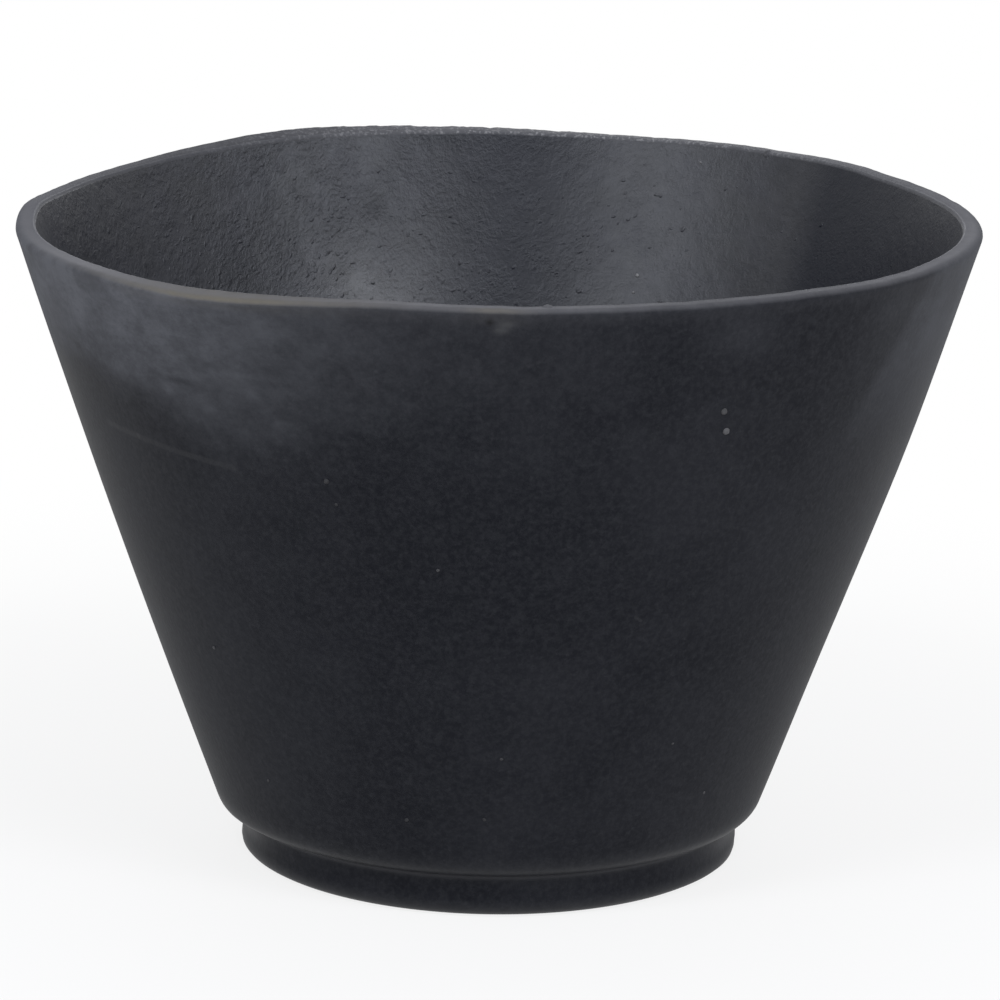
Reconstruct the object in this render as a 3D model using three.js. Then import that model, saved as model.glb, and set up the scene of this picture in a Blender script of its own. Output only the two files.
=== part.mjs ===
// Rubber plaster bowl: one moulding of black rubber, a tall cone on a low foot ring.
// Millimetres, +Z up. The origin is the middle of the foot, on the surface that the bowl stands on.
// Bearings are degrees about +Z, counted from +X towards +Y. The front of the bowl is -Y.

import * as THREE from 'three';
import { mergeVertices } from 'three/addons/utils/BufferGeometryUtils.js';

// Outside, with the rim and the shoulder measured at their corners before these are rounded
const RIM_DIAMETER = 130;
const HEIGHT = 88;
const SHOULDER_DIAMETER = 74.4;
const SHOULDER_HEIGHT = 7;
const SHOULDER_ROUND = 3;
const WALL_BOW = 0.6;

// Wall thickness, measured level
const LIP_THICKNESS = 2.8;
const SHOULDER_THICKNESS = 4;

// Lip
const LIP_OUTER_ROUND = 0.8;
const LIP_INNER_ROUND = 0.3;

// Foot ring, and the shallow recess that it encloses
const FOOT_DIAMETER = 68.4;
const FOOT_HEIGHT = 5.8;
const FOOT_EDGE_ROUND = 2.1;
const FOOT_CREASE_ROUND = 1;
const RECESS_DIAMETER = 52;
const RECESS_DEPTH = 2;
const RECESS_DRAFT = 1;
const RECESS_ROUND = 0.6;

// Inside of the floor
const FLOOR_THICKNESS = 6;
const FLOOR_ROUND = 18;

// The rim as trimmed by hand: a slight tilt up towards +X, a saddle that is low at the sides, and a crest
// where the outer edge was left standing, with the inner edge rising by a share of it. The crest's widths are
// degrees on its left and on its back side.
const RIM_TILT = 0.75;
const RIM_SADDLE = 0.45;
const CREST_HEIGHT = 1.8;
const CREST_INNER_SHARE = 0.35;
const CREST_BEARING = 118;
const CREST_WIDTH_LEFT = 20;
const CREST_WIDTH_BACK = 24;
const CREST_DEPTH = 12;

// Facets: steps round the axis, degrees of arc in the section, and the longest straight run
const TURN_STEPS = 72;
const ARC_STEP = 18;
const LONGEST_RUN = 12;

const rimRadius = RIM_DIAMETER / 2;
const shoulderRadius = SHOULDER_DIAMETER / 2;
const footRadius = FOOT_DIAMETER / 2;
const recessRadius = RECESS_DIAMETER / 2;
const floorTop = RECESS_DEPTH + FLOOR_THICKNESS;

// Share of the way up the wall, 0 at the shoulder and below it, 1 at the rim.
function wallShare(z) {
  return THREE.MathUtils.clamp((z - SHOULDER_HEIGHT) / (HEIGHT - SHOULDER_HEIGHT), 0, 1);
}

// Radii of the straight cones that the two faces of the wall follow, before the wall is bowed.
function outerCone(z) {
  const share = (z - SHOULDER_HEIGHT) / (HEIGHT - SHOULDER_HEIGHT);
  return THREE.MathUtils.lerp(shoulderRadius, rimRadius, share);
}

function innerCone(z) {
  const share = (z - SHOULDER_HEIGHT) / (HEIGHT - SHOULDER_HEIGHT);
  return outerCone(z) - THREE.MathUtils.lerp(SHOULDER_THICKNESS, LIP_THICKNESS, share);
}

// Path through corners that are points, each with the radius of the arc that rounds it off.
function roundedPath(corners) {
  const path = new THREE.Path();
  path.moveTo(corners[0].x, corners[0].y);
  for (let i = 1; i < corners.length - 1; i++) {
    const corner = new THREE.Vector2(corners[i].x, corners[i].y);
    const back = new THREE.Vector2(corners[i - 1].x, corners[i - 1].y).sub(corner);
    const ahead = new THREE.Vector2(corners[i + 1].x, corners[i + 1].y).sub(corner);
    const turnsLeft = ahead.cross(back) > 0;
    const halfAngle = back.angleTo(ahead) / 2;
    const start = back.clone().setLength(corners[i].round / Math.tan(halfAngle));
    const end = ahead.clone().setLength(corners[i].round / Math.tan(halfAngle));
    const centre = start.clone().add(end).setLength(corners[i].round / Math.sin(halfAngle));
    path.lineTo(corner.x + start.x, corner.y + start.y);
    path.absarc(corner.x + centre.x, corner.y + centre.y, corners[i].round,
      start.sub(centre).angle(), end.sub(centre).angle(), !turnsLeft);
  }
  const last = corners[corners.length - 1];
  path.lineTo(last.x, last.y);
  return path;
}

// Half section of the bowl, as radius and height. It runs from the axis under the floor, out across the
// recess and the foot ring, up the outside, over the lip, and down the inside to the axis again.
function halfSection() {
  return roundedPath([
    { x: 0, y: RECESS_DEPTH },
    { x: recessRadius - RECESS_DRAFT, y: RECESS_DEPTH, round: RECESS_ROUND },
    { x: recessRadius, y: 0, round: RECESS_ROUND },
    { x: footRadius, y: 0, round: FOOT_EDGE_ROUND },
    { x: footRadius, y: FOOT_HEIGHT, round: FOOT_CREASE_ROUND },
    { x: shoulderRadius, y: SHOULDER_HEIGHT, round: SHOULDER_ROUND },
    { x: rimRadius, y: HEIGHT, round: LIP_OUTER_ROUND },
    { x: rimRadius - LIP_THICKNESS, y: HEIGHT, round: LIP_INNER_ROUND },
    { x: innerCone(floorTop), y: floorTop, round: FLOOR_ROUND },
    { x: 0, y: floorTop },
  ]);
}

// Points along a path: arcs turn by equal steps, and straight runs are split so that the wall can bow.
function pointsAlong(path) {
  const points = [];
  for (const curve of path.curves) {
    const length = curve.getLength();
    const longest = curve.isLineCurve ? LONGEST_RUN : curve.xRadius * THREE.MathUtils.degToRad(ARC_STEP);
    points.push(...curve.getPoints(Math.ceil(length / longest)).slice(0, -1));
  }
  points.push(path.curves.at(-1).getPoint(1));
  return points;
}

// The wall swells a little between the shoulder and the rim, inside and outside alike.
function bowed(point) {
  const share = wallShare(point.y);
  const swell = 4 * WALL_BOW * share * (1 - share);
  return new THREE.Vector2(point.x * (1 + swell / outerCone(point.y)), point.y);
}

// Height that the trim of the rim adds at a bearing: to the whole wall, and to the crest's outer edge.
function rimWave(bearing) {
  return RIM_TILT * Math.cos(bearing) - RIM_SADDLE * Math.cos(2 * bearing);
}

function rimCrest(bearing) {
  const off = THREE.MathUtils.euclideanModulo(
    THREE.MathUtils.radToDeg(bearing) - CREST_BEARING + 180, 360) - 180;
  const width = off > 0 ? CREST_WIDTH_LEFT : CREST_WIDTH_BACK;
  return CREST_HEIGHT * Math.exp(-((off / width) ** 2));
}

// Lifts every point of the turned bowl by the wave of the rim, which dies out down the wall.
function trimRim(geometry) {
  const position = geometry.getAttribute('position');
  const point = new THREE.Vector3();
  for (let i = 0; i < position.count; i++) {
    point.fromBufferAttribute(position, i);
    const radius = Math.hypot(point.x, point.y);
    const bearing = Math.atan2(point.y, point.x);
    const across = (radius - innerCone(point.z)) / (outerCone(point.z) - innerCone(point.z));
    const nearLip = Math.max(0, 1 - (HEIGHT - point.z) / CREST_DEPTH);
    const wave = rimWave(bearing) * wallShare(point.z) ** 1.5;
    const share = THREE.MathUtils.lerp(CREST_INNER_SHARE, 1, THREE.MathUtils.clamp(across, 0, 1));
    position.setZ(i, point.z + wave + rimCrest(bearing) * share * nearLip);
  }
  return geometry;
}

function bowlGeometry() {
  const profile = pointsAlong(halfSection()).map(bowed);
  const turned = new THREE.LatheGeometry(profile, TURN_STEPS).rotateX(Math.PI / 2);
  turned.deleteAttribute('normal');
  turned.deleteAttribute('uv');
  const geometry = trimRim(mergeVertices(turned));
  geometry.computeVertexNormals();
  return geometry;
}

const blackRubber = new THREE.MeshStandardMaterial({ color: 0x2c2d31, roughness: 0.8, metalness: 0 });

const bowl = new THREE.Mesh(bowlGeometry(), blackRubber);
bowl.name = 'bowl';

const plasterBowl = new THREE.Group();
plasterBowl.add(bowl);

export default plasterBowl;
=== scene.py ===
# Rubber plaster bowl: one moulding of black rubber with a hand-trimmed lip, the pebbles of the skin inside,
# the burrs on the lip, and the specks of dried plaster that stick to it. Metres, +Z up, the front of the
# bowl is -Y. Bearings are degrees about +Z, counted from +X towards +Y.
import math

import bpy
from mathutils import Matrix, Vector


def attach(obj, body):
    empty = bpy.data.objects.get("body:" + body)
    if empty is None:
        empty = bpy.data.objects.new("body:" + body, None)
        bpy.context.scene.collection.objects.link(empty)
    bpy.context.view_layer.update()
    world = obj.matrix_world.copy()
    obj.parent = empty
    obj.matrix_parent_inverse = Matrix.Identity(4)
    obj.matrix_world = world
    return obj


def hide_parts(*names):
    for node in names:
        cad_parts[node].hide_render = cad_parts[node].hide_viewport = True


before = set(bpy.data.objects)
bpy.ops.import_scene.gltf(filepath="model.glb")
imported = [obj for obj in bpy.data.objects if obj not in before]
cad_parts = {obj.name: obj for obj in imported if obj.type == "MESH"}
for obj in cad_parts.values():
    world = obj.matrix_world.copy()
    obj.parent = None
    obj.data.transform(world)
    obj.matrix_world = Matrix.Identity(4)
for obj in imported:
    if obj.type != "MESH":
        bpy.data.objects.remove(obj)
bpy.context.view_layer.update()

MM = 0.001

# The moulding, with the rim and the shoulder measured at their corners before these are rounded
RIM_RADIUS = 65 * MM
HEIGHT = 88 * MM
SHOULDER_RADIUS = 37.2 * MM
SHOULDER_HEIGHT = 7 * MM
SHOULDER_ROUND = 3 * MM
LIP_THICKNESS = 2.8 * MM
SHOULDER_THICKNESS = 4 * MM
LIP_OUTER_ROUND = 0.8 * MM
LIP_INNER_ROUND = 0.3 * MM
FOOT_RADIUS = 34.2 * MM
FOOT_HEIGHT = 5.8 * MM
FOOT_EDGE_ROUND = 2.1 * MM
FOOT_CREASE_ROUND = 1 * MM
RECESS_RADIUS = 26 * MM
RECESS_DEPTH = 2 * MM
RECESS_DRAFT = 1 * MM
RECESS_ROUND = 0.6 * MM
FLOOR_TOP = 8 * MM
FLOOR_ROUND = 18 * MM

# Depths below the rim: rows of the section that keep the wall flat up to the rounds of the lip, then where
# the wear of the lip starts and is full, each on the outer and the inner face, a faint wear further down
# the outside, and the reach of the bevels
OUTER_HOLD = 1.4 * MM
INNER_HOLD = 0.5 * MM
WEAR_START = (0.75 * MM, 0.5 * MM)
WEAR_FULL = (0.10 * MM, 0.2 * MM)
FAINT_WEAR_START = 2.4 * MM
FAINT_WEAR_FULL = 1.2 * MM
FAINT_WEAR = 0.09
BEVEL_DEPTH = 2 * MM

# Waves of the wall and the lip, as lengths on a rim of radius 1, and what a metre of height is there
WALL_WAVE = 0.35
LIP_WAVE = 0.12
LIP_NOTCH = 0.03
FLASH_TOOTH = 0.012
WAVE_HEIGHT = 8.0

# Radius under which the waves of the wall die out towards the middle of the floor
CALM_RADIUS = 20 * MM

# Where a little flash stands on the lip: bearing and half width
FLASH_BEARING = 94.0
FLASH_WIDTH = 26.0

# Pebbles inside: where they are thickest, how far that spreads, their share elsewhere, the size of their
# drifts and the share between drifts, then width and height as shares of length, turn and sinking
PEBBLE_BEARING = 112.0
PEBBLE_SPREAD = 38.0
PEBBLE_LEAST = 0.03
DRIFT_SIZE = 14 * MM
DRIFT_LEAST = 0.15
PEBBLE_WIDTH = (0.4, 0.7)
PEBBLE_HEIGHT = (0.16, 0.32)
PEBBLE_TURN = 0.8
PEBBLE_SINKING = 0.34

# How far the grain inside leans from level, and how far it is drawn out that way
GRAIN_LEAN = math.radians(35)
GRAIN_STRETCH = 0.85

# Millimetres that a degree takes round the upper wall
WALL_ARC = math.radians(1) * 56

# Where the trimming knife wandered: bearing, height, and half width in degrees
KNIFE_MARKS = [
    (38, 0.30 * MM, 10),
    (58, 0.24 * MM, 9),
    (46, 0.12 * MM, 8),
    (90, 0.08 * MM, 7),
    (177, 0.70 * MM, 9),
    (27, -0.28 * MM, 14),
    (-90, -0.20 * MM, 60),
    (-132, -0.32 * MM, 11),
    (-103, 0.33 * MM, 9),
    (-38, -0.25 * MM, 10),
]

# Where the outer edge of the lip is worn down, or left high: bearing, drop, and half width in degrees
BEVELS = [
    (-125, 0.75 * MM, 14),
    (-160, 0.25 * MM, 14),
    (27, -0.28 * MM, 14),
]

# Where the wall swells out or in by hand use: bearing, height, swell, half width in degrees, half height
SWELLS = [
    (-4, 60 * MM, 0.34 * MM, 35, 15 * MM),
    (-4, 26 * MM, -0.16 * MM, 35, 12 * MM),
    (-158, 6.8 * MM, 0.38 * MM, 16, 0.9 * MM),
    (-178, 3.2 * MM, -1.05 * MM, 30, 1.6 * MM),
    (-165, 0.5 * MM, 0.35 * MM, 35, 0.7 * MM),
    (-18, 0.7 * MM, 0.60 * MM, 25, 0.7 * MM),
    (-2, 3.4 * MM, 0.60 * MM, 35, 0.9 * MM),
]

# Specks of dried plaster: bearing, height, width, paleness, and 1 for those inside
SPECKS = [
    (-61.8, 73.6 * MM, 0.90 * MM, 0.4, 0),
    (-60.9, 70.8 * MM, 1.00 * MM, 0.9, 0),
    (-111.6, 63.7 * MM, 0.70 * MM, 0.12, 0),
    (-110.6, 60.6 * MM, 0.45 * MM, 0.05, 0),
    (-57.0, 25.5 * MM, 0.45 * MM, 0.3, 0),
    (-87.8, 25.0 * MM, 0.50 * MM, 0.18, 0),
    (-139.6, 35.6 * MM, 0.50 * MM, 0.5, 0),
    (-105.2, 14.9 * MM, 0.60 * MM, 0.05, 0),
    (-90.6, 15.7 * MM, 0.50 * MM, 0.05, 0),
    (-135.4, 16.8 * MM, 0.45 * MM, 0.3, 0),
    (-45.4, 16.4 * MM, 0.50 * MM, 0.5, 0),
    (-97.4, 52.4 * MM, 0.45 * MM, 0.4, 0),
    (68.8, 69.7 * MM, 0.60 * MM, 1.5, 1),
    (69.0, 67.3 * MM, 0.45 * MM, 1.3, 1),
    (61.8, 86.0 * MM, 0.45 * MM, 1.2, 1),
]

# Burrs of rubber on the inner edge of the lip, given as the specks are, with wear instead of paleness
BURRS = [
    (-84.4, 88.3 * MM, 2.2 * MM, 1.0, 1),
    (52.0, 88.3 * MM, 1.6 * MM, 0.8, 1),
]

# Dried film below the lip: the height of its lower edge in millimetres, where that edge sags, and where the
# film is thick, as bearing, half width and amount
FILM_EDGE = 76.0
FILM_SAGS = [
    (-122, 22, 10.0),
    (180, 18, 12.0),
    (-20, 35, 4.0),
]
FILM_BANKS = [
    (-146, 33, 0.87),
    (180, 16, 0.7),
]

# Patches on the outside: bearing, half width in degrees, height and half height in millimetres, and amount.
# The film has smudges and a bare streak where it was wiped off. The tone makes rubber lighter or darker.
FILM_SMUDGES = [
    (-61, 5, 83.5, 3, 0.1),
    (-37, 4, 84.5, 2.5, 0.1),
    (-131.2, 2.8, 74.5, 0.5, -0.2),
    (-125.4, 0.8, 76.7, 0.6, 0.16),
    (-121.8, 2.0, 76.7, 0.5, 0.12),
    (-133.2, 0.7, 72.7, 0.7, 0.15),
    (-120.2, 1.0, 74.4, 0.7, 0.13),
    (-127.0, 1.8, 71.2, 0.4, 0.08),
    (-117.2, 0.6, 70.9, 0.4, 0.12),
]
TONE_PATCHES = [
    (-82, 9, 31, 9, 0.06),
    (-91, 8, 14, 5, 0.10),
    (-65, 8, 59, 7, 0.08),
    (-88, 13, 47, 14, -0.22),
    (-50, 8, 79, 5, -0.2),
]
# Painted glints at the two ends of the foot
FOOT_END_GLINTS = [
    (-18, 12, 4.8, 1.8, 1.0),
    (-162, 11, 4.8, 1.8, 1.0),
]
# Painted highlight of a lump below the nick
LUMP_BY_NICK_PAINTED_LIGHT = [
    (-89.6, 0.9, 85.6, 0.5, 0.24),
    (-89.0, 0.9, 86.4, 0.45, 0.24),
]
NICK = (-90.8, 0.4, 86.6, 0.4)

# Scratches on the outside: two ends, each a bearing and a height in millimetres, and half the width
SCRATCHES = [
    ((-150.4, 64.9), (-142.8, 64.6), 0.6),
    ((-142.8, 64.6), (-125.2, 63.5), 0.6),
    ((-68.9, 45.2), (-67.9, 44.6), 0.3),
]

# Radii in millimetres over which the lip passes from its inner edge to its top, and then to its outside
LIP_INNER_PART = (62.1, 63.4)
LIP_OUTER_PART = (63.4, 64.6)

# Colours of the rubber
DARK_RUBBER = (0.0075, 0.0081, 0.0107, 1)
LIGHT_RUBBER = (0.0131, 0.0138, 0.0170, 1)
# Paler rubber of the scratches and of the foot towards its bottom edge
PALER_RUBBER = (0.05, 0.05, 0.052, 1)
# Painted glints at the two ends of the foot
PAINTED_FOOT_GLINT = (0.06, 0.06, 0.064, 1)
# Painted shade in the hollow of the nick
NICK_PAINTED_SHADE = (0.004, 0.004, 0.005, 1)
# Painted shade inside, on the right and less at the back and on the left
PAINTED_INNER_SHADE = (0.003, 0.004, 0.009, 1)
# Upper sides of the pebbles and grains inside: some dust and painted light; lower sides: painted shade
PEBBLE_TOP_DUST_AND_LIGHT = (0.075, 0.075, 0.087, 1)
PEBBLE_PAINTED_SHADE = (0.004, 0.004, 0.006, 1)
WORN_LIP = (0.122, 0.122, 0.132, 1)
RUBBED_LIP = (0.21, 0.21, 0.22, 1)
BROWN_LIP = (0.132, 0.120, 0.095, 1)

# Colours of the plaster on it, and painted light in the crease of the foot and on a lump below the nick
GRAIN_DUST = (0.032, 0.033, 0.037, 1)
# Painted light in the crease of the foot, against its shadow
CREASE_PAINTED_LIGHT = (0.05, 0.05, 0.054, 1)
INNER_DUST = (0.032, 0.033, 0.046, 1)
INNER_MOTTLE = (0.05, 0.05, 0.058, 1)
DRIED_FILM = (0.094, 0.097, 0.108, 1)
# Painted highlight of a lump below the nick
PAINTED_LUMP_HIGHLIGHT = (0.11, 0.11, 0.11, 1)
LIP_FLECKS = (0.27, 0.27, 0.28, 1)
DARK_CRUMB = (0.022, 0.022, 0.024, 1)
STAINED_CRUMB = (0.05, 0.05, 0.053, 1)
GREY_CRUMB = (0.115, 0.115, 0.119, 1)
CLEAN_CRUMB = (0.3, 0.3, 0.31, 1)

# Sheen of the rubber
COAT_ROUGHNESS = 0.42
COAT_IOR = 1.5
OUTER_SPECULAR = 0.05
INNER_SPECULAR = 0.31
SPECULAR_TINT = (0.92, 0.95, 1.0, 1)

# Stage: the floor's half width, its colour, its share of plain white by the bowl, and the distances over
# which it turns plain white, then the light
FLOOR_REACH = 4.0
FLOOR_COLOUR = (0.82, 0.82, 0.82, 1)
FLOOR_WHITE = 0.8
FLOOR_FADE = (0.08, 0.22)
LAMP_COLOUR = (0.915, 0.94, 1.0)
LAMP_TARGET = (0, 0, 0.06)
WORLD_LIGHT = 0.45

# Lamps: name, bearing, elevation, distance, width, height, and radiance, where white paper is 1
LAMPS = [
    ("left_softbox", -135, 25, 0.95, 0.36, 0.42, 6.7),
    ("right_softbox", -45, 25, 0.95, 0.56, 0.42, 5.8),
    ("high_left_lamp", -120, 52, 0.95, 0.16, 0.16, 16),
    ("high_right_lamp", -60, 52, 0.95, 0.16, 0.16, 16),
    ("top_softbox", 90, 80, 1.2, 0.9, 0.9, 0.7),
    ("back_softbox", 90, 22, 1.3, 0.9, 0.45, 2.0),
]

# Camera: sensor and lens in millimetres, place, and turns in degrees
SENSOR_WIDTH = 36
LENS = 179.12
CAMERA_PLACE = (0, -0.6581, 0.2113)
CAMERA_TURN = -0.073
CAMERA_DIP = 13.898
CAMERA_ROLL = 1.163


class Wire:
    """An output of a node. Arithmetic on it adds Math nodes to the same tree."""

    def __init__(self, socket):
        self.socket = socket
        self.tree = socket.id_data

    def __add__(self, other):
        return calc("ADD", self, other)

    def __radd__(self, other):
        return calc("ADD", other, self)

    def __sub__(self, other):
        return calc("SUBTRACT", self, other)

    def __rsub__(self, other):
        return calc("SUBTRACT", other, self)

    def __mul__(self, other):
        return calc("MULTIPLY", self, other)

    def __rmul__(self, other):
        return calc("MULTIPLY", other, self)

    def __truediv__(self, other):
        return calc("DIVIDE", self, other)

    def __pow__(self, other):
        return calc("POWER", self, other)


def feed(socket, value):
    """Links a wire to a socket, or sets the socket to a plain value."""
    if isinstance(value, Wire):
        value.tree.links.new(value.socket, socket)
    else:
        socket.default_value = value


def place(tree, kind, inputs=None, **settings):
    """Adds a node to a tree. The inputs are named or numbered, the settings are the node's own."""
    node = tree.nodes.new(kind)
    for name, value in settings.items():
        setattr(node, name, value)
    for key, value in (inputs or {}).items():
        feed(node.inputs[key], value)
    return node


def out(node, key=0):
    return Wire(node.outputs[key])


def calc(operation, *values):
    """Wire with the result of a Math node."""
    tree = next(value.tree for value in values if isinstance(value, Wire))
    return out(place(tree, "ShaderNodeMath", dict(enumerate(values)), operation=operation))


def clamped(value):
    return out(place(value.tree, "ShaderNodeClamp", {"Value": value}))


def ramp(value, low, high):
    """0 below low and 1 above high, with a soft start and end."""
    inputs = {"Value": value, "From Min": low, "From Max": high}
    return out(place(value.tree, "ShaderNodeMapRange", inputs, interpolation_type="SMOOTHSTEP"))


def mixed(share, first, second):
    return first + (second - first) * share


def hump(offset, width):
    """Bell curve: 1 in the middle, about a third at the width."""
    return calc("EXPONENT", (offset / width) ** 2 * -1)


def off_bearing(bearing, middle):
    """Degrees from a bearing, wrapped to plus or minus 180."""
    return calc("WRAP", bearing - middle, 180.0, -180.0)


def split(vector):
    node = place(vector.tree, "ShaderNodeSeparateXYZ", {"Vector": vector})
    return [Wire(socket) for socket in node.outputs]


def joined(tree, x, y, z):
    return out(place(tree, "ShaderNodeCombineXYZ", {"X": x, "Y": y, "Z": z}))


def noise(vector, size, detail=2.0, shift=0.0):
    """Cloudy value round 0.5, with patches of about the given size. The shift picks another cloud."""
    tree = vector.tree
    moved = out(place(tree, "ShaderNodeVectorMath", {0: vector, 1: (shift, shift, shift)}, operation="ADD"))
    inputs = {"Vector": moved, "Scale": 1 / size, "Detail": detail, "Roughness": 0.5}
    return out(place(tree, "ShaderNodeTexNoise", inputs))


def new_tree(name, kind, inputs, outputs):
    """Node tree with named sockets. Returns it, the wires of its inputs and the sockets of its outputs."""
    tree = bpy.data.node_groups.new(name, kind)
    for label, socket in inputs.items():
        tree.interface.new_socket(label, in_out="INPUT", socket_type="NodeSocket" + socket)
    for label, socket in outputs.items():
        tree.interface.new_socket(label, in_out="OUTPUT", socket_type="NodeSocket" + socket)
    entry = tree.nodes.new("NodeGroupInput")
    leave = tree.nodes.new("NodeGroupOutput")
    return tree, {label: Wire(entry.outputs[label]) for label in inputs}, leave.inputs


def named(tree, name):
    """Field of a stored attribute."""
    node = place(tree, "GeometryNodeInputNamedAttribute", {"Name": name}, data_type="FLOAT")
    return out(node, "Attribute")


def stored(geometry, name, value):
    inputs = {"Geometry": geometry, "Name": name, "Value": value}
    return out(place(geometry.tree, "GeometryNodeStoreNamedAttribute", inputs,
                     data_type="FLOAT", domain="POINT"))


def finished(geometry, material, result, selection=True):
    """Ends a tree: instances made real, shaded smooth, with its material on the selected faces."""
    tree = geometry.tree
    real = out(place(tree, "GeometryNodeRealizeInstances", {"Geometry": geometry}))
    smooth = out(place(tree, "GeometryNodeSetShadeSmooth", {"Geometry": real}))
    feed(result, out(place(tree, "GeometryNodeSetMaterial", {
        "Geometry": smooth, "Material": material, "Selection": selection})))


def made_by(tree, name, start, values):
    """Piece whose plain mesh a Geometry Nodes tree makes from a starting mesh."""
    piece = bpy.data.objects.new(name, start)
    bpy.context.scene.collection.objects.link(piece)
    maker = piece.modifiers.new(tree.name, "NODES")
    maker.node_group = tree
    for item in tree.interface.items_tree:
        if item.in_out == "INPUT" and item.name in values:
            maker[item.identifier] = values[item.name]
    depsgraph = bpy.context.evaluated_depsgraph_get()
    mesh = bpy.data.meshes.new_from_object(
        piece.evaluated_get(depsgraph), preserve_all_data_layers=True, depsgraph=depsgraph)
    piece.modifiers.remove(maker)
    piece.data = mesh
    mesh.name = name
    return piece


# Section of the bowl

def cone_share(z):
    return (z - SHOULDER_HEIGHT) / (HEIGHT - SHOULDER_HEIGHT)


def outer_cone(z):
    """Radius of the straight cone that the outside of the wall follows."""
    return SHOULDER_RADIUS + (RIM_RADIUS - SHOULDER_RADIUS) * cone_share(z)


def wall_thickness(z):
    return SHOULDER_THICKNESS + (LIP_THICKNESS - SHOULDER_THICKNESS) * cone_share(z)


def half_section():
    """Corners of the half section with the radius that rounds each, from the axis under the floor, out over
    the foot, up the outside, across the lip and down the inside to the axis again. Extra rows on each
    side of the lip keep the wall's faces flat up to its rounds."""
    outer_hold = HEIGHT - OUTER_HOLD
    wear_end = HEIGHT - FAINT_WEAR_START
    inner_hold = HEIGHT - INNER_HOLD
    corners = [
        (0, RECESS_DEPTH, 0, 0),
        (RECESS_RADIUS - RECESS_DRAFT, RECESS_DEPTH, RECESS_ROUND, 0),
        (RECESS_RADIUS, 0, RECESS_ROUND, 0),
        (FOOT_RADIUS, 0, FOOT_EDGE_ROUND, 0),
        (FOOT_RADIUS, FOOT_HEIGHT, FOOT_CREASE_ROUND, 0),
        (SHOULDER_RADIUS, SHOULDER_HEIGHT, SHOULDER_ROUND, 0),
        (outer_cone(wear_end), wear_end, 0, 0),
        (outer_cone(outer_hold), outer_hold, 0, 0),
        (RIM_RADIUS, HEIGHT, LIP_OUTER_ROUND, 0),
        (RIM_RADIUS - LIP_THICKNESS, HEIGHT, LIP_INNER_ROUND, 1),
        (outer_cone(inner_hold) - wall_thickness(inner_hold), inner_hold, 0, 1),
        (outer_cone(FLOOR_TOP) - wall_thickness(FLOOR_TOP), FLOOR_TOP, FLOOR_ROUND, 1),
        (0, FLOOR_TOP, 0, 1),
    ]
    mesh = bpy.data.meshes.new("half_section")
    runs = [(i, i + 1) for i in range(len(corners) - 1)]
    mesh.from_pydata([(radius, 0, z) for radius, z, _, _ in corners], runs, [])
    for column, name in ((2, "corner_round"), (3, "inner_face")):
        values = mesh.attributes.new(name, "FLOAT", "POINT")
        values.data.foreach_set("value", [corner[column] for corner in corners])
    return mesh


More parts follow.
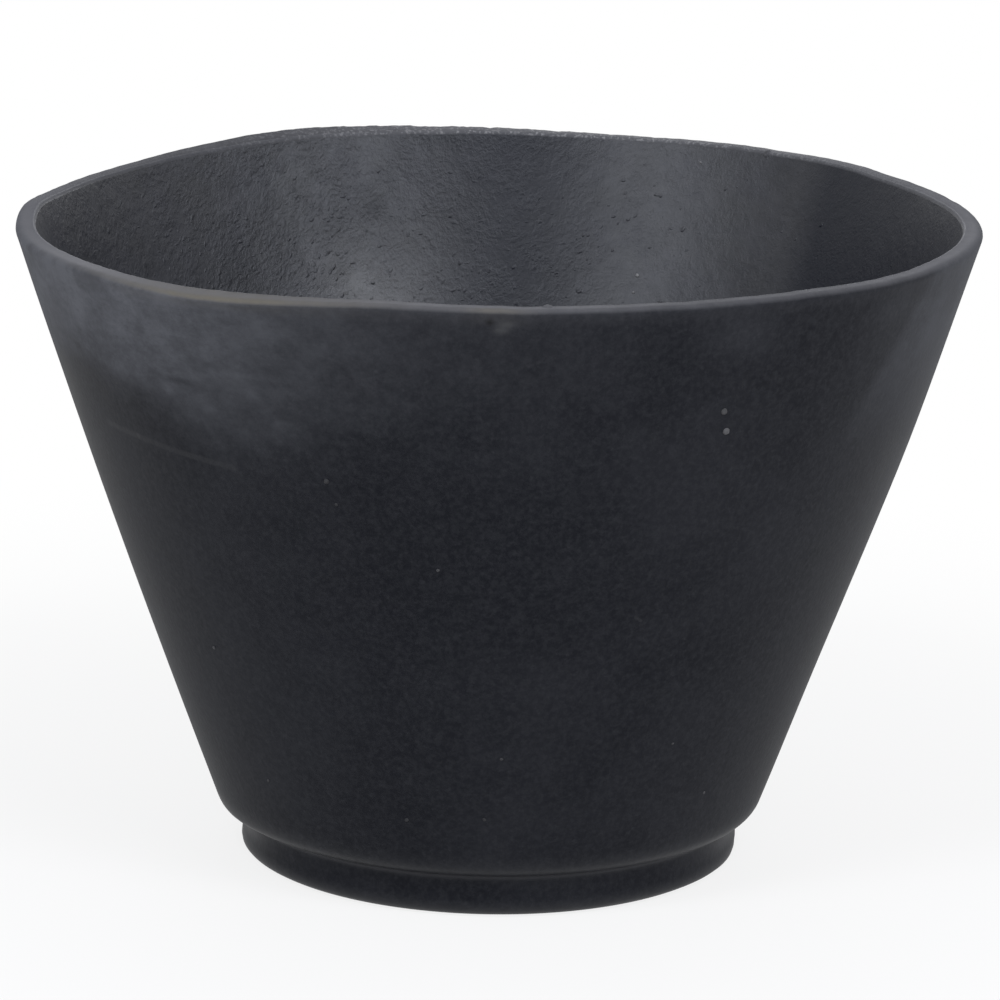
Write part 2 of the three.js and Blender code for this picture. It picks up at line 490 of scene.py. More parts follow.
def bowl_tree():
    """Turns the half section about the axis, swells the wall and trims the lip by hand."""
    tree, size, result = new_tree("bowl_turning", "GeometryNodeTree", {
        "Section": "Geometry", "Turn Steps": "Int", "Arc Points": "Int", "Longest Run": "Float",
        "Wall Bow": "Float", "Rim Tilt": "Float", "Rim Saddle": "Float", "Crest Height": "Float",
        "Crest Bearing": "Float", "Crest Width Left": "Float", "Crest Width Back": "Float",
        "Crest Depth": "Float", "Crest Inner Share": "Float", "Lip Ripple": "Float", "Flash": "Float",
        "Wall Ripple": "Float", "Outer Rubber": "Material", "Inner Rubber": "Material",
    }, {"Bowl": "Geometry"})
    position = out(place(tree, "GeometryNodeInputPosition"))
    index = out(place(tree, "GeometryNodeInputIndex"))

    corners = out(place(tree, "GeometryNodeMeshToCurve", {"Mesh": size["Section"]}))
    rounded = out(place(tree, "GeometryNodeFilletCurve", {
        "Curve": corners, "Radius": named(tree, "corner_round"), "Count": size["Arc Points"]}, mode="POLY"))
    after = out(place(tree, "GeometryNodeFieldAtIndex", {"Index": index + 1.0, "Value": position},
                      data_type="FLOAT_VECTOR", domain="POINT"))
    run = out(place(tree, "ShaderNodeVectorMath", {0: position, 1: after}, operation="DISTANCE"), "Value")
    section = out(place(tree, "GeometryNodeSubdivideCurve", {
        "Curve": rounded, "Cuts": run / size["Longest Run"]}))
    rows = out(place(tree, "GeometryNodeAttributeDomainSize", {"Geometry": section}, component="CURVE"))

    sheet = out(place(tree, "GeometryNodeMeshGrid", {
        "Size X": 1.0, "Size Y": 1.0, "Vertices X": size["Turn Steps"] + 1.0, "Vertices Y": rows}))
    turn, up, _ = split(position)
    row = (up + 0.5) * (rows - 1.0) + 0.5
    sampled = {"Geometry": section, "Index": row}
    spot = out(place(tree, "GeometryNodeSampleIndex", {**sampled, "Value": position},
                     data_type="FLOAT_VECTOR", domain="POINT"))
    inner = out(place(tree, "GeometryNodeSampleIndex", {**sampled, "Value": named(tree, "inner_face")},
                      data_type="FLOAT", domain="POINT"))
    radius, _, z = split(spot)
    angle = turn * math.tau
    bearing = calc("DEGREES", angle)

    share = clamped(cone_share(z))
    outer = outer_cone(z)
    wall = wall_thickness(z)
    across = clamped((radius - outer + wall) / wall)
    swell = share * (1.0 - share) * 4.0 * size["Wall Bow"]
    near_lip = clamped(1.0 - (HEIGHT - z) / size["Crest Depth"])

    rim_place = joined(tree, calc("COSINE", angle), calc("SINE", angle), z * WAVE_HEIGHT)
    skin_wave = (noise(rim_place, WALL_WAVE) - 0.5) * size["Wall Ripple"] * share
    lip_wave = (noise(rim_place, LIP_WAVE) - 0.5) + (noise(rim_place, LIP_NOTCH) - 0.5) * 0.5
    lip_wave = lip_wave * size["Lip Ripple"]
    for middle, rise, width in KNIFE_MARKS:
        lip_wave = lip_wave + hump(off_bearing(bearing, float(middle)), float(width)) * rise
    flash = hump(off_bearing(bearing, FLASH_BEARING), FLASH_WIDTH) * (noise(rim_place, FLASH_TOOTH) - 0.5)
    bevel = flash * size["Flash"]
    for middle, drop, width in BEVELS:
        bevel = bevel - hump(off_bearing(bearing, float(middle)), float(width)) * drop
    for middle, level, swelling, width, tall in SWELLS:
        bulge = hump(off_bearing(bearing, float(middle)), float(width)) * hump(z - level, tall)
        skin_wave = skin_wave + bulge * across * swelling
    off = off_bearing(bearing, size["Crest Bearing"])
    crest_width = mixed(calc("GREATER_THAN", off, 0.0), size["Crest Width Back"], size["Crest Width Left"])
    crest = hump(off, crest_width) * size["Crest Height"]
    wave = calc("COSINE", angle) * size["Rim Tilt"] - calc("COSINE", angle * 2.0) * size["Rim Saddle"]

    full_radius = radius * (1.0 + swell / outer) + skin_wave * clamped(radius / CALM_RADIUS)
    full_z = z + wave * share ** 1.5 + lip_wave * near_lip ** 2.0
    full_z = full_z + crest * mixed(across, size["Crest Inner Share"], 1.0) * near_lip
    full_z = full_z + bevel * across * clamped(1.0 - (HEIGHT - z) / BEVEL_DEPTH)
    turned = joined(tree, full_radius * calc("COSINE", angle), full_radius * calc("SINE", angle), full_z)

    skin = stored(sheet, "inner_face", inner)
    worn = ramp(z, HEIGHT - mixed(inner, *WEAR_START), HEIGHT - mixed(inner, *WEAR_FULL))
    faint = ramp(z, HEIGHT - FAINT_WEAR_START, HEIGHT - FAINT_WEAR_FULL) * (1.0 - inner) * FAINT_WEAR
    skin = stored(skin, "lip_edge", calc("MAXIMUM", worn, faint))
    bowl = out(place(tree, "GeometryNodeSetPosition", {"Geometry": skin, "Position": turned}))
    closed = out(place(tree, "GeometryNodeMergeByDistance", {"Geometry": bowl, "Distance": 0.002 * MM}))
    inside = calc("GREATER_THAN", named(tree, "inner_face"), 0.6)
    outer_set = out(place(tree, "GeometryNodeSetMaterial", {
        "Geometry": closed, "Material": size["Outer Rubber"]}))
    finished(outer_set, size["Inner Rubber"], result["Bowl"], inside)
    return tree


def pebble_tree():
    """Scatters low rubber pebbles over the inside of the bowl, thickest at the back. An attribute is more
    than 0 on their upper sides and less on their lower ones."""
    tree, size, result = new_tree("pebble_scatter", "GeometryNodeTree", {
        "Bowl": "Geometry", "Per Square Metre": "Float", "Shortest": "Float", "Longest": "Float",
        "Lean": "Float", "Seed": "Int", "Rubber": "Material",
    }, {"Pebbles": "Geometry"})
    position = out(place(tree, "GeometryNodeInputPosition"))
    x, y, z = split(position)
    bearing = calc("DEGREES", calc("ARCTAN2", y, x))
    drifts = mixed(ramp(noise(position, DRIFT_SIZE, shift=5.0), 0.42, 0.62), DRIFT_LEAST, 1.0)
    thick = mixed(hump(off_bearing(bearing, PEBBLE_BEARING), PEBBLE_SPREAD), PEBBLE_LEAST, 1.0)
    inside = ramp(named(tree, "inner_face"), 0.98, 1.0) * ramp(HEIGHT - z, 2 * MM, 9 * MM)
    scatter = place(tree, "GeometryNodeDistributePointsOnFaces", {
        "Mesh": size["Bowl"], "Density": size["Per Square Metre"] * inside * thick * drifts,
        "Seed": size["Seed"]}, distribute_method="RANDOM")

    def drawn(low, high, seed):
        node = place(tree, "FunctionNodeRandomValue", {2: low, 3: high, 8: seed}, data_type="FLOAT")
        return out(node, 1)

    length = drawn(0.0, 1.0, 11) ** 2.0 * (size["Longest"] - size["Shortest"]) + size["Shortest"]
    scale = joined(tree, length, length * drawn(*PEBBLE_WIDTH, 12), length * drawn(*PEBBLE_HEIGHT, 13))
    spin = joined(tree, 0.0, 0.0, size["Lean"] + drawn(-PEBBLE_TURN, PEBBLE_TURN, 14))
    facing = out(place(tree, "FunctionNodeRotateRotation", {
        "Rotation": out(scatter, "Rotation"), "Rotate By": spin}, rotation_space="LOCAL"))
    ball = out(place(tree, "GeometryNodeMeshUVSphere", {"Segments": 6, "Rings": 4, "Radius": 0.5}))
    pebble = out(place(tree, "GeometryNodeTransform", {
        "Geometry": ball, "Translation": (0, 0, -PEBBLE_SINKING)}))
    pebbles = out(place(tree, "GeometryNodeInstanceOnPoints", {
        "Points": out(scatter, "Points"), "Instance": pebble, "Rotation": facing, "Scale": scale}))
    real = out(place(tree, "GeometryNodeRealizeInstances", {"Geometry": pebbles}))
    _, _, rise = split(out(place(tree, "GeometryNodeInputNormal")))
    lean = math.atan((RIM_RADIUS - LIP_THICKNESS - SHOULDER_RADIUS + SHOULDER_THICKNESS)
                     / (HEIGHT - SHOULDER_HEIGHT))
    marked = stored(real, "upper_side", (rise - math.sin(lean)) * 2.5)
    finished(marked, size["Rubber"], result["Pebbles"])
    return tree


def speck_points(name, specks, finish):
    """Loose points at the places of specks, close to the face of the wall that carries each. Their paleness
    is stored under the name that their finish reads it by."""
    spots = []
    for bearing, z, _, _, inside in specks:
        radius = outer_cone(z) - inside * wall_thickness(z)
        angle = math.radians(bearing)
        spots.append((radius * math.cos(angle), radius * math.sin(angle), z))
    mesh = bpy.data.meshes.new(name)
    mesh.from_pydata(spots, [], [])
    widths = mesh.attributes.new("speck_width", "FLOAT", "POINT")
    widths.data.foreach_set("value", [speck[2] for speck in specks])
    paleness = mesh.attributes.new(finish, "FLOAT", "POINT")
    paleness.data.foreach_set("value", [speck[3] for speck in specks])
    return mesh


def speck_tree():
    """Sets a crumb on the bowl at each point, sunk by half or deeper, flat along the wall and lumpy."""
    tree, size, result = new_tree("speck_setting", "GeometryNodeTree", {
        "Points": "Geometry", "Bowl": "Object", "Sinking": "Float", "Flatness": "Float", "Lumps": "Float",
        "Finish": "Material",
    }, {"Specks": "Geometry"})
    position = out(place(tree, "GeometryNodeInputPosition"))
    bowl_shape = out(place(tree, "GeometryNodeObjectInfo", {"Object": size["Bowl"]}), "Geometry")
    nearest = out(place(tree, "GeometryNodeProximity", {0: bowl_shape}, target_element="FACES"), "Position")
    seated = out(place(tree, "GeometryNodeSetPosition", {"Geometry": size["Points"], "Position": nearest}))
    normal = out(place(tree, "GeometryNodeInputNormal"))
    outward = out(place(tree, "GeometryNodeSampleNearestSurface", {"Mesh": bowl_shape, "Value": normal},
                        data_type="FLOAT_VECTOR"))
    facing = out(place(tree, "FunctionNodeAlignRotationToVector", {"Vector": outward}, axis="Z"))
    width = named(tree, "speck_width")
    ball = out(place(tree, "GeometryNodeMeshIcoSphere", {"Radius": 0.5, "Subdivisions": 2}))
    depth = joined(tree, 0.0, 0.0, size["Sinking"] * -1.0)
    crumb = out(place(tree, "GeometryNodeTransform", {"Geometry": ball, "Translation": depth}))
    crumbs = out(place(tree, "GeometryNodeInstanceOnPoints", {
        "Points": seated, "Instance": crumb, "Rotation": facing,
        "Scale": joined(tree, width, width, width * size["Flatness"])}))
    real = out(place(tree, "GeometryNodeRealizeInstances", {"Geometry": crumbs}))
    lumps = (noise(position, 0.3 * MM, 1.0) - 0.5) * size["Lumps"]
    bulge = out(place(tree, "ShaderNodeVectorMath", {0: normal, "Scale": lumps}, operation="SCALE"))
    lumpy = out(place(tree, "GeometryNodeSetPosition", {"Geometry": real, "Offset": bulge}))
    finished(lumpy, size["Finish"], result["Specks"])
    return tree


# Materials

def plain_material(name):
    """New material with a Principled shader. Returns the material, its tree and that shader."""
    material = bpy.data.materials.new(name)
    material.use_nodes = True
    return material, material.node_tree, material.node_tree.nodes["Principled BSDF"]


def object_place(tree):
    return out(place(tree, "ShaderNodeTexCoord"), "Object")


def attribute(tree, name):
    return out(place(tree, "ShaderNodeAttribute", attribute_name=name), "Fac")


def colour_mix(share, first, second):
    node = place(share.tree, "ShaderNodeMix", {0: share, 6: first, 7: second}, data_type="RGBA")
    return out(node, 2)


def cloud_group():
    """Cloudy value round 0.5, in patches of a given size."""
    tree, given, result = new_tree("clouds", "ShaderNodeTree", {
        "Place": "Vector", "Patch Size": "Float", "Breakup": "Float", "Shift": "Float"}, {"Value": "Float"})
    shift = joined(tree, given["Shift"], given["Shift"], given["Shift"])
    moved = out(place(tree, "ShaderNodeVectorMath", {0: given["Place"], 1: shift}, operation="ADD"))
    cloud = out(place(tree, "ShaderNodeTexNoise", {
        "Vector": moved, "Scale": calc("DIVIDE", 1.0, given["Patch Size"]), "Detail": 6.0,
        "Roughness": given["Breakup"]}))
    feed(result["Value"], cloud)
    return tree


def grain_group():
    """Fine grain of a moulded or cast skin, as a height in metres. With it come a mask of its highest
    points, and a value that is more than 0 on the upper sides of the grains and less on the lower ones."""
    tree, given, result = new_tree("fine_grain", "ShaderNodeTree", {
        "Place": "Vector", "Up": "Vector", "Grain Size": "Float", "Depth": "Float"},
        {"Height": "Float", "Peaks": "Float", "Upper Side": "Float"})

    def grain_at(steps):
        rise = {0: given["Up"], "Scale": given["Grain Size"] * steps}
        lift = out(place(tree, "ShaderNodeVectorMath", rise, operation="SCALE"))
        spot = out(place(tree, "ShaderNodeVectorMath", {0: given["Place"], 1: lift}, operation="ADD"))
        return out(place(tree, "ShaderNodeTexNoise", {
            "Vector": spot, "Scale": calc("DIVIDE", 1.0, given["Grain Size"]), "Detail": 3.0,
            "Roughness": 0.65}))

    grain = grain_at(0.0)
    feed(result["Height"], grain * given["Depth"])
    feed(result["Peaks"], ramp(grain, 0.5, 0.75))
    feed(result["Upper Side"], (grain_at(-0.3) - grain_at(0.3)) * 2.0)
    return tree


class Skin:
    """Places on the bowl as a tree of a rubber sees them, and masks and textures that are set by them."""

    def __init__(self, spot, clouds, fine_grain):
        self.tree = spot.tree
        self.spot = spot
        self.clouds = clouds
        self.fine_grain = fine_grain
        self.x, self.y, self.z = split(spot)
        self.height = self.z / MM
        self.radius = calc("SQRT", self.x * self.x + self.y * self.y) / MM
        self.bearing = calc("DEGREES", calc("ARCTAN2", self.y, self.x))

    def near(self, middle, width):
        """1 at a bearing, and about a third at the width from it, both in degrees."""
        return hump(off_bearing(self.bearing, float(middle)), float(width))

    def patch(self, middle, width, level, tall):
        """1 at a bearing and a height. Half its width is in degrees, half its height in millimetres."""
        return self.near(middle, width) * hump(self.height - float(level), float(tall))

    def all_near(self, rows):
        """Sum over rows of bearing, width and amount."""
        total = 0.0
        for middle, width, amount in rows:
            total = total + self.near(middle, width) * amount
        return total

    def all_patches(self, rows):
        """Sum over rows of bearing, width, height, half height and amount."""
        total = 0.0
        for middle, width, level, tall, amount in rows:
            total = total + self.patch(middle, width, level, tall) * amount
        return total

    def cloud(self, size, shift, breakup=0.55, spot=None):
        return out(place(self.tree, "ShaderNodeGroup", {
            "Place": spot or self.spot, "Patch Size": size * MM, "Breakup": breakup, "Shift": shift},
            node_tree=self.clouds))

    def grain(self, size, depth, spot=None, up=(0, 0, 1)):
        return place(self.tree, "ShaderNodeGroup", {
            "Place": spot or self.spot, "Up": up, "Grain Size": size * MM, "Depth": depth * MM},
            node_tree=self.fine_grain)

    def scratch(self, start, end, width):
        """Mask of a straight scratch between two places. Its widths are in millimetres."""
        run = ((end[0] - start[0]) * WALL_ARC, end[1] - start[1])
        along = off_bearing(self.bearing, float(start[0])) * WALL_ARC
        rise = self.height - float(start[1])
        share = clamped((along * run[0] + rise * run[1]) / (run[0] ** 2 + run[1] ** 2))
        aside = along - share * run[0]
        above = rise - share * run[1]
        return 1.0 - ramp(calc("SQRT", aside * aside + above * above), width * 0.3, width)


def rubber_group(clouds):
    """Colour of the bare rubber, a little lighter in soft patches, and the value of these patches."""
    tree, given, result = new_tree("bare_rubber", "ShaderNodeTree", {
        "Place": "Vector", "Lighter": "Float"}, {"Colour": "Color", "Tone": "Float"})
    skin = Skin(given["Place"], clouds, None)
    tone = skin.cloud(24.0, 0.0) * 0.6 + skin.cloud(7.0, 0.4) * 0.4
    shade = ramp(tone + given["Lighter"], 0.36, 0.66)
    feed(result["Colour"], colour_mix(shade, DARK_RUBBER, LIGHT_RUBBER))
    feed(result["Tone"], tone)
    return tree


def lip_group(clouds):
    """Adds the wear of the lip to a colour: pale where it rubs, less so along its inner edge, flecked with
    plaster at the back and browner at the front left and over the nick."""
    tree, given, result = new_tree("lip_wear", "ShaderNodeTree", {
        "Place": "Vector", "Colour": "Color", "Lip": "Float"}, {"Colour": "Color"})
    skin = Skin(given["Place"], clouds, None)
    lip = given["Lip"]
    across = ramp(skin.radius, *LIP_INNER_PART)
    outer_side = ramp(skin.radius, *LIP_OUTER_PART)
    spared = outer_side * (0.3 + skin.near(-160, 25) * 0.45 + skin.near(-15, 25) * 0.3)
    worn = lip * (0.45 + skin.cloud(4.0, 1.9, 0.7) * 0.75) * (1.0 - skin.near(135, 26) * 0.45)
    worn = worn * (0.7 + across * 0.3) * (1.0 - spared) * (1.0 - skin.near(-60, 18) * 0.25)
    colour = colour_mix(clamped(worn), given["Colour"], WORN_LIP)
    side_wear = (skin.near(-148, 14) + skin.near(-10, 16) * 0.5) * (1.0 - outer_side)
    colour = colour_mix(lip * side_wear * 0.35, colour, RUBBED_LIP)
    flecks = ramp(skin.cloud(0.5, 6.1, 0.6), 0.5, 0.62) * skin.near(82, 38)
    colour = colour_mix(lip * flecks * 0.6, colour, LIP_FLECKS)
    browned = (0.35 + outer_side * 0.65) * skin.near(-123, 16) + outer_side * skin.near(-90, 3) * 0.6
    browned = browned * (0.4 + skin.cloud(2.5, 8.3, 0.6) * 0.8)
    colour = colour_mix(clamped(lip * browned), colour, BROWN_LIP)
    feed(result["Colour"], colour)
    return tree


def worn_at_lip(skin, colour, lip, lip_wear):
    """A colour with the wear of the lip on it."""
    inputs = {"Place": skin.spot, "Colour": colour, "Lip": lip}
    return out(place(skin.tree, "ShaderNodeGroup", inputs, node_tree=lip_wear))


def set_sheen(shader, specular):
    """Plain values of a rubber's sheen."""
    shader.inputs["Coat Roughness"].default_value = COAT_ROUGHNESS
    shader.inputs["Coat IOR"].default_value = COAT_IOR
    shader.inputs["Specular IOR Level"].default_value = specular
    shader.inputs["Specular Tint"].default_value = SPECULAR_TINT


def set_relief(shader, height):
    """Bumps from a height in metres."""
    bump = place(height.tree, "ShaderNodeBump", {"Strength": 1.0, "Distance": 1.0, "Height": height})
    feed(shader.inputs["Normal"], out(bump))


def black_rubber(clouds, fine_grain, bare_rubber, lip_wear):
    """Rubber of the outside and the lip, matt, with a film of dried plaster below the lip."""
    material, tree, shader = plain_material("black_rubber")
    skin = Skin(object_place(tree), clouds, fine_grain)
    height = skin.height
    lip = attribute(tree, "lip_edge")

    # Rubber with pale dust in its grain
    moulded = skin.grain(0.7, 0.03)
    lighter = skin.all_patches(TONE_PATCHES)
    bare = place(tree, "ShaderNodeGroup", {"Place": skin.spot, "Lighter": lighter}, node_tree=bare_rubber)
    tone = out(bare, "Tone")
    mottle = ramp(skin.cloud(0.85, 5.3, 0.75), 0.38, 0.66) * 0.3 + out(moulded, "Peaks") * 0.2
    colour = colour_mix(mottle, out(bare, "Colour"), GRAIN_DUST)

    # Dried film below the lip, thickest at the front left, smeared round, with a ragged lower edge
    smeared = joined(tree, skin.x * 0.7, skin.y * 0.7, skin.z * 1.15)
    low_edge = FILM_EDGE - skin.all_near(FILM_SAGS)
    above = height - low_edge + (skin.cloud(7.0, 0.7, 0.7, smeared) - 0.5) * 16.0
    smears = ramp(skin.cloud(4.5, 1.1, 0.75, smeared), 0.3, 0.72)
    film = ramp(above, -5.0, 6.0) * (0.015 + skin.all_near(FILM_BANKS))
    film = film * (0.36 + ramp(height, 64.0, 86.0) * 0.64) * (0.6 + smears * 0.7)
    right_edge = skin.bearing + (88.0 - height) * 0.47
    right_film = ramp(right_edge, -31.8, -28.3) * (1.0 - ramp(skin.bearing, 0.0, 60.0))
    right_film = right_film * ramp(height, 62.0, 82.0) * (0.15 + smears * 0.24)
    # Lighter on the right side, from 36 to 66 mm up
    right_side_lightening = skin.near(-6, 20) * ramp(height, 36.0, 66.0) * 0.24
    blotches = (skin.cloud(2.2, 2.9, 0.65) - 0.5) * ramp(height, 52.0, 78.0)
    film = film + right_film + right_side_lightening + blotches * 0.14 + skin.all_patches(FILM_SMUDGES)
    film = clamped(film)
    colour = colour_mix(film, colour, DRIED_FILM)

    # Scratches, the foot's edge paler towards the bottom, painted light in the crease against its shadow,
    # painted glints at the ends of the foot, and a nick under the lip with painted shade in its hollow and
    # a painted highlight below it
    marks = 0.0
    for start, end, width in SCRATCHES:
        marks = marks + skin.scratch(start, end, width)
    colour = colour_mix(clamped(marks * (0.16 + smears * 0.12)), colour, PALER_RUBBER)
    # Paler towards the foot's bottom edge
    foot_edge = 1.0 - ramp(height, 0.4, 2.8)
    colour = colour_mix(foot_edge * 0.2, colour, PALER_RUBBER)
    # Painted light in the crease, against the shadow under the shoulder
    crease_painted_light = hump(height - FOOT_HEIGHT / MM, 0.45)
    colour = colour_mix(crease_painted_light * 0.6, colour, CREASE_PAINTED_LIGHT)
    # Painted glints at the ends of the foot
    painted_foot_glints = skin.all_patches(FOOT_END_GLINTS)
    colour = colour_mix(painted_foot_glints * 0.25, colour, PAINTED_FOOT_GLINT)
    # Painted highlight of the lump below the nick
    colour = colour_mix(skin.all_patches(LUMP_BY_NICK_PAINTED_LIGHT), colour, PAINTED_LUMP_HIGHLIGHT)
    # The nick's dent, with painted shade in its hollow
    nick = skin.patch(*NICK)
    colour = colour_mix(nick * 0.8, colour, NICK_PAINTED_SHADE)
    feed(shader.inputs["Base Color"], worn_at_lip(skin, colour, lip, lip_wear))

    # The shoulder and the foot shine a little: at the foot's ends, where glints are painted too, and at its
    # bottom edge
    shoulder = hump(height - 7.2, 1.6) * (1.0 - ramp(height, 12.0, 14.0))
    feed(shader.inputs["Coat Weight"], clamped(shoulder * 0.24 + painted_foot_glints * 0.2 + foot_edge * 0.3))
    feed(shader.inputs["Roughness"], clamped(0.5 + film * 0.3 + lip * 0.2 + (tone - 0.5) * 0.2))
    set_sheen(shader, OUTER_SPECULAR)
    set_relief(shader, out(moulded, "Height") * (1.0 - lip) - nick * (0.2 * MM))
    return material


def pebbled_rubber(clouds, fine_grain, bare_rubber, lip_wear):
    """Rubber of the inside, which shines a little. Its skin is gritty, with low pebbles that lean alike."""
    material, tree, shader = plain_material("pebbled_rubber")
    skin = Skin(object_place(tree), clouds, fine_grain)
    lip = attribute(tree, "lip_edge")
    pebble_side = attribute(tree, "upper_side")
    on_wall = ramp(skin.radius, 28.0, 38.0)

    # Pebbles on coordinates that lean round the wall, grit and coarse lumps on plain ones
    round_arc = off_bearing(skin.bearing, 90.0) * WALL_ARC
    along = skin.height * math.sin(GRAIN_LEAN) - round_arc * math.cos(GRAIN_LEAN)
    aside = skin.height * math.cos(GRAIN_LEAN) + round_arc * math.sin(GRAIN_LEAN)
    leaning = joined(tree, along * (GRAIN_STRETCH * MM), aside * MM, 0.0)
    uphill = (math.sin(GRAIN_LEAN) * GRAIN_STRETCH, math.cos(GRAIN_LEAN), 0)
    pebbled = skin.grain(0.7, 0.26, leaning, uphill)
    coarse = skin.grain(1.8, 0.2)
    gritty = skin.grain(0.36, 0.10)
    drifts = ramp(skin.cloud(5.0, 7.7, 0.6), 0.36, 0.62)
    pebbly = on_wall * (0.25 + skin.near(122, 44) * 0.75) * (0.4 + drifts * 0.6)
    lumpy = on_wall * (0.3 + skin.near(155, 30) * 0.5)

    # A thin even film of plaster, and on pebbles and grains painted light with some dust above, painted
    # shade below
    bare = place(tree, "ShaderNodeGroup", {"Place": skin.spot, "Lighter": 0.0}, node_tree=bare_rubber)
    dust = ramp(skin.cloud(11.0, 3.1, 0.7), 0.3, 0.7)
    colour = colour_mix(0.03 + dust * 0.24, out(bare, "Colour"), INNER_DUST)
    mottle = ramp(skin.cloud(1.3, 4.3, 0.7), 0.38, 0.66) * on_wall
    colour = colour_mix(mottle * 0.12, colour, INNER_MOTTLE)
    upper = (out(pebbled, "Upper Side") + out(gritty, "Upper Side") * 0.6) * pebbly + pebble_side * 0.5
    upper = upper + out(coarse, "Upper Side") * lumpy * 0.6
    # Painted light with some dust on the upper sides, painted shade on the lower sides
    colour = colour_mix(clamped(upper * 0.22), colour, PEBBLE_TOP_DUST_AND_LIGHT)
    colour = colour_mix(clamped(upper * -0.8), colour, PEBBLE_PAINTED_SHADE)

    # Painted shade on the right, and less of it at the back and on the left, with less polish there too
    shaded_right_side = ramp(skin.bearing, -60.0, -50.0) * (1.0 - ramp(skin.bearing, 39.0, 46.0)) * on_wall
    inner_painted_shade = shaded_right_side * 0.88 + (skin.near(88, 11) * 0.6 + skin.near(172, 22) * 0.45) * on_wall
    colour = colour_mix(inner_painted_shade, colour, PAINTED_INNER_SHADE)
    feed(shader.inputs["Base Color"], worn_at_lip(skin, colour, lip, lip_wear))

    # Polished in soft patches, most in one at the back left
    polish = 0.24 - skin.near(117, 15) * 0.10 + skin.patch(107, 12, 64, 8) * 0.5
    polish = polish + (skin.cloud(13.0, 2.7, 0.65) - 0.5) * 0.5 + (skin.cloud(1.6, 9.1, 0.6) - 0.5) * 0.3
    # Less polish where shade is painted
    polish = polish * (1.0 - inner_painted_shade)
    feed(shader.inputs["Coat Weight"], clamped(polish * (1.0 - lip)))
    feed(shader.inputs["Roughness"], clamped(0.4 + (out(bare, "Tone") - 0.5) * 0.2 + lip * 0.3))
    set_sheen(shader, INNER_SPECULAR)
    relief = out(pebbled, "Height") * pebbly + out(gritty, "Height") * (0.3 + pebbly * 0.7)
    set_relief(shader, (relief + out(coarse, "Height") * lumpy) * (1.0 - lip))
    return material


def dried_plaster(clouds, fine_grain):
    """Crumbs of plaster, stained dark. A paleness of 1 is grey, and 2 is almost clean."""
    material, tree, shader = plain_material("dried_plaster")
    skin = Skin(object_place(tree), clouds, fine_grain)
    stain = skin.cloud(0.4, 4.0)
    crumbly = skin.grain(0.12, 0.02)
    pale = colour_mix(stain, STAINED_CRUMB, GREY_CRUMB)
    paleness = attribute(tree, "paleness")
    colour = colour_mix(clamped(paleness), DARK_CRUMB, pale)
    feed(shader.inputs["Base Color"], colour_mix(clamped(paleness - 1.0), colour, CLEAN_CRUMB))
    feed(shader.inputs["Roughness"], 0.8 + out(crumbly, "Peaks") * 0.15)
    shader.inputs["Specular IOR Level"].default_value = 0.2
    set_relief(shader, out(crumbly, "Height"))
    return material


# Stage

def seen(tree):
    """1 for what the camera sees directly, in a shine or through glass, and 0 for light on the bowl."""
    path = place(tree, "ShaderNodeLightPath")
    mirrored = calc("MAXIMUM", out(path, "Is Camera Ray"), out(path, "Is Glossy Ray"))
    return calc("MAXIMUM", mirrored, out(path, "Is Transmission Ray"))


def floor_material():
    """Pale floor that keeps the bowl's shadow and is plain white further off."""
    material, tree, shader = plain_material("pale_floor")
    shader.inputs["Base Color"].default_value = FLOOR_COLOUR
    shader.inputs["Roughness"].default_value = 0.9
    shader.inputs["Specular IOR Level"].default_value = 0.1
    white = place(tree, "ShaderNodeEmission", {"Color": (1, 1, 1, 1), "Strength": 1.0})
    spot = object_place(tree)
    away = out(place(tree, "ShaderNodeVectorMath", {0: spot}, operation="LENGTH"), "Value")
    whiteness = mixed(ramp(away, *FLOOR_FADE), FLOOR_WHITE, 1.0)
    blend = place(tree, "ShaderNodeMixShader", {0: seen(tree) * whiteness, 1: out(shader), 2: out(white)})
    feed(tree.nodes["Material Output"].inputs["Surface"], out(blend))
    return material


def set_stage():
    mesh = bpy.data.meshes.new("floor")
    corners = [(x * FLOOR_REACH, y * FLOOR_REACH, 0) for x, y in ((-1, -1), (1, -1), (1, 1), (-1, 1))]
    mesh.from_pydata(corners, [], [(0, 1, 2, 3)])
    mesh.materials.append(floor_material())
    floor = bpy.data.objects.new("floor", mesh)
    bpy.context.scene.collection.objects.link(floor)

    world = bpy.data.worlds.new("studio")
    bpy.context.scene.world = world
    world.use_nodes = True
    tree = world.node_tree
    background = tree.nodes["Background"]
    background.inputs["Color"].default_value = (1, 1, 1, 1)
    feed(background.inputs["Strength"], mixed(seen(tree), WORLD_LIGHT, 1.0))


def lamp(name, bearing, elevation, distance, width, height, radiance):
    """Soft rectangular lamp that looks at the bowl. Its radiance is that of its face."""
    data = bpy.data.lights.new(name, "AREA")
    data.shape = "RECTANGLE"
    data.size = width
    data.size_y = height
    data.energy = radiance * math.pi * width * height
    data.color = LAMP_COLOUR
    level = distance * math.cos(math.radians(elevation))
    away = Vector((level * math.cos(math.radians(bearing)), level * math.sin(math.radians(bearing)),
                   distance * math.sin(math.radians(elevation))))
    holder = bpy.data.objects.new(name, data)
    holder.location = Vector(LAMP_TARGET) + away
    holder.rotation_euler = (-away).to_track_quat("-Z", "Y").to_euler()
    holder.visible_camera = False
    bpy.context.scene.collection.objects.link(holder)


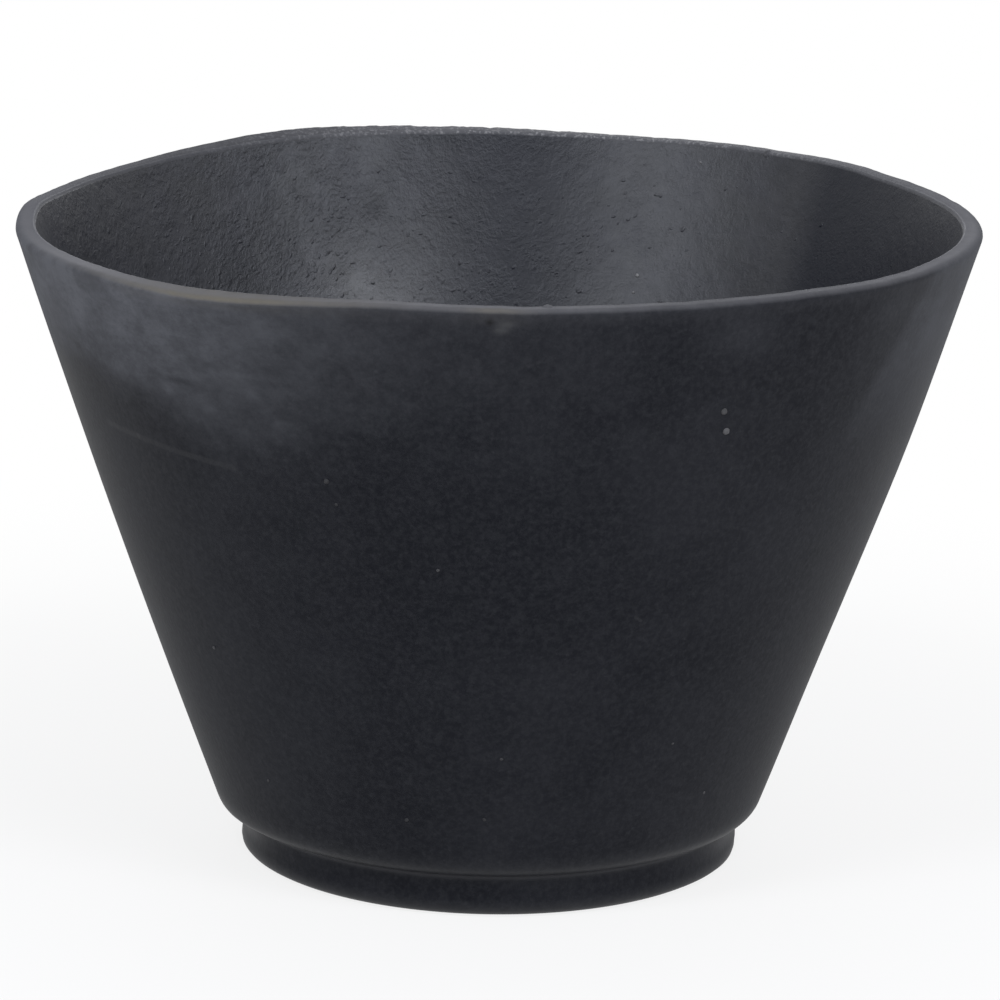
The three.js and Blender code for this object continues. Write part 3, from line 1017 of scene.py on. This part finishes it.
def set_camera():
    data = bpy.data.cameras.new("camera")
    data.sensor_width = SENSOR_WIDTH
    data.lens = LENS
    holder = bpy.data.objects.new("camera", data)
    turn = Matrix.Rotation(math.radians(CAMERA_TURN), 4, "Z")
    tip = Matrix.Rotation(math.radians(90 - CAMERA_DIP), 4, "X")
    roll = Matrix.Rotation(math.radians(CAMERA_ROLL), 4, "Z")
    holder.matrix_world = Matrix.Translation(CAMERA_PLACE) @ turn @ tip @ roll
    bpy.context.scene.collection.objects.link(holder)
    bpy.context.scene.camera = holder


clouds = cloud_group()
fine_grain = grain_group()
bare_rubber = rubber_group(clouds)
lip_wear = lip_group(clouds)
outer_rubber = black_rubber(clouds, fine_grain, bare_rubber, lip_wear)
inner_rubber = pebbled_rubber(clouds, fine_grain, bare_rubber, lip_wear)
plaster = dried_plaster(clouds, fine_grain)
bowl = made_by(bowl_tree(), "moulded_bowl", half_section(), {
    "Turn Steps": 720, "Arc Points": 7, "Longest Run": 4 * MM, "Wall Bow": 0.6 * MM,
    "Rim Tilt": 0.75 * MM, "Rim Saddle": 0.45 * MM, "Crest Height": 1.8 * MM, "Crest Bearing": 118.0,
    "Crest Width Left": 20.0, "Crest Width Back": 24.0, "Crest Depth": 12 * MM, "Crest Inner Share": 0.35,
    "Lip Ripple": 0.25 * MM, "Flash": 0.5 * MM, "Wall Ripple": 0.3 * MM, "Outer Rubber": outer_rubber,
    "Inner Rubber": inner_rubber})
pebbles = made_by(pebble_tree(), "inner_pebbles", bowl.data, {
    "Per Square Metre": 850000.0, "Shortest": 0.45 * MM, "Longest": 1.5 * MM, "Lean": 0.7, "Seed": 4,
    "Rubber": inner_rubber})
setting = speck_tree()
specks = made_by(setting, "plaster_specks", speck_points("speck_points", SPECKS, "paleness"), {
    "Bowl": bowl, "Sinking": 0.0, "Flatness": 0.6, "Lumps": 0.25 * MM, "Finish": plaster})
burrs = made_by(setting, "lip_burrs", speck_points("burr_points", BURRS, "lip_edge"), {
    "Bowl": bowl, "Sinking": 0.38, "Flatness": 1.0, "Lumps": 0.1 * MM, "Finish": outer_rubber})
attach(bowl, "root")
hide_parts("bowl")
for piece in (pebbles, specks, burrs):
    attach(piece, "root")

set_stage()
for row in LAMPS:
    lamp(*row)
set_camera()
bpy.context.scene.view_settings.view_transform = "Standard"
